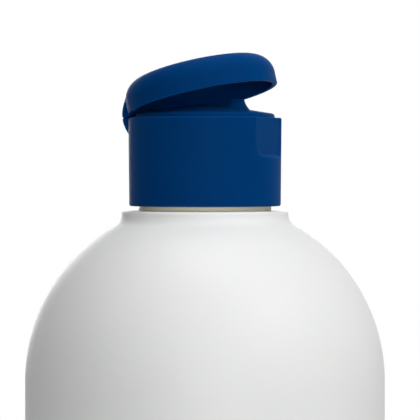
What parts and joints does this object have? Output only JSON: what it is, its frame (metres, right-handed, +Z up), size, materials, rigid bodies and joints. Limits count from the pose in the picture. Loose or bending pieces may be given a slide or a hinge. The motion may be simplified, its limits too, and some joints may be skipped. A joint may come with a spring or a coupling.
{
  "type": "shampoo bottle",
  "caption": "Round white plastic shampoo bottle with a domed shoulder, a threaded neck and a dark blue screw-on flip-top cap with a raised pouring spout; the lid stands slightly open.",
  "frame": {"origin": "centre of the base, in the plane that the standing ring rests on", "axes": "+Z up along the bottle's axis; +X towards the front, where the spout and the thumb recess are, with the lid's hinge at -X; +Y to the left of someone looking along +X"},
  "size_m": [0.0682, 0.068, 0.1917],
  "materials": {
    "bottle_shell": "satin white blow-moulded polyethylene",
    "label_film": "satin white film, unprinted",
    "liner_foam": "matt white polyethylene foam",
    "cap_plastic": "glossy dark blue moulded polypropylene"
  },
  "bodies": {
    "bottle": {"bottle": "bottle_shell", "front_label": "label_film", "back_label": "label_film"},
    "liner": {"sealing_liner": "liner_foam"},
    "closure": {"cap_base": "cap_plastic", "hinge_film_left": "cap_plastic", "hinge_film_right": "cap_plastic", "hinge_spring_strap": "cap_plastic"},
    "lid": {"lid": "cap_plastic"}
  },
  "joints": [
    {"name": "closure_lift", "type": "slide", "parent": "bottle", "child": "liner", "axis": [0, 0, 1], "range_m": [0, 0.0048]},
    {"name": "closure_unscrew", "type": "hinge", "parent": "liner", "child": "closure", "pos_m": [0, 0, 0.17921], "axis": [0, 0, 1], "range_deg": [0, 540]},
    {"name": "lid_hinge", "type": "hinge", "parent": "closure", "child": "lid", "pos_m": [-0.0147, 0, 0.17966], "axis": [0, -1, 0], "range_deg": [-13.6, 136.4], "deforming": ["hinge_film_left", "hinge_film_right", "hinge_spring_strap"]}
  ],
  "couplings": [
    {"joint": "closure_lift", "follows": "closure_unscrew", "m_per_rad": 0.00050532}
  ]
}
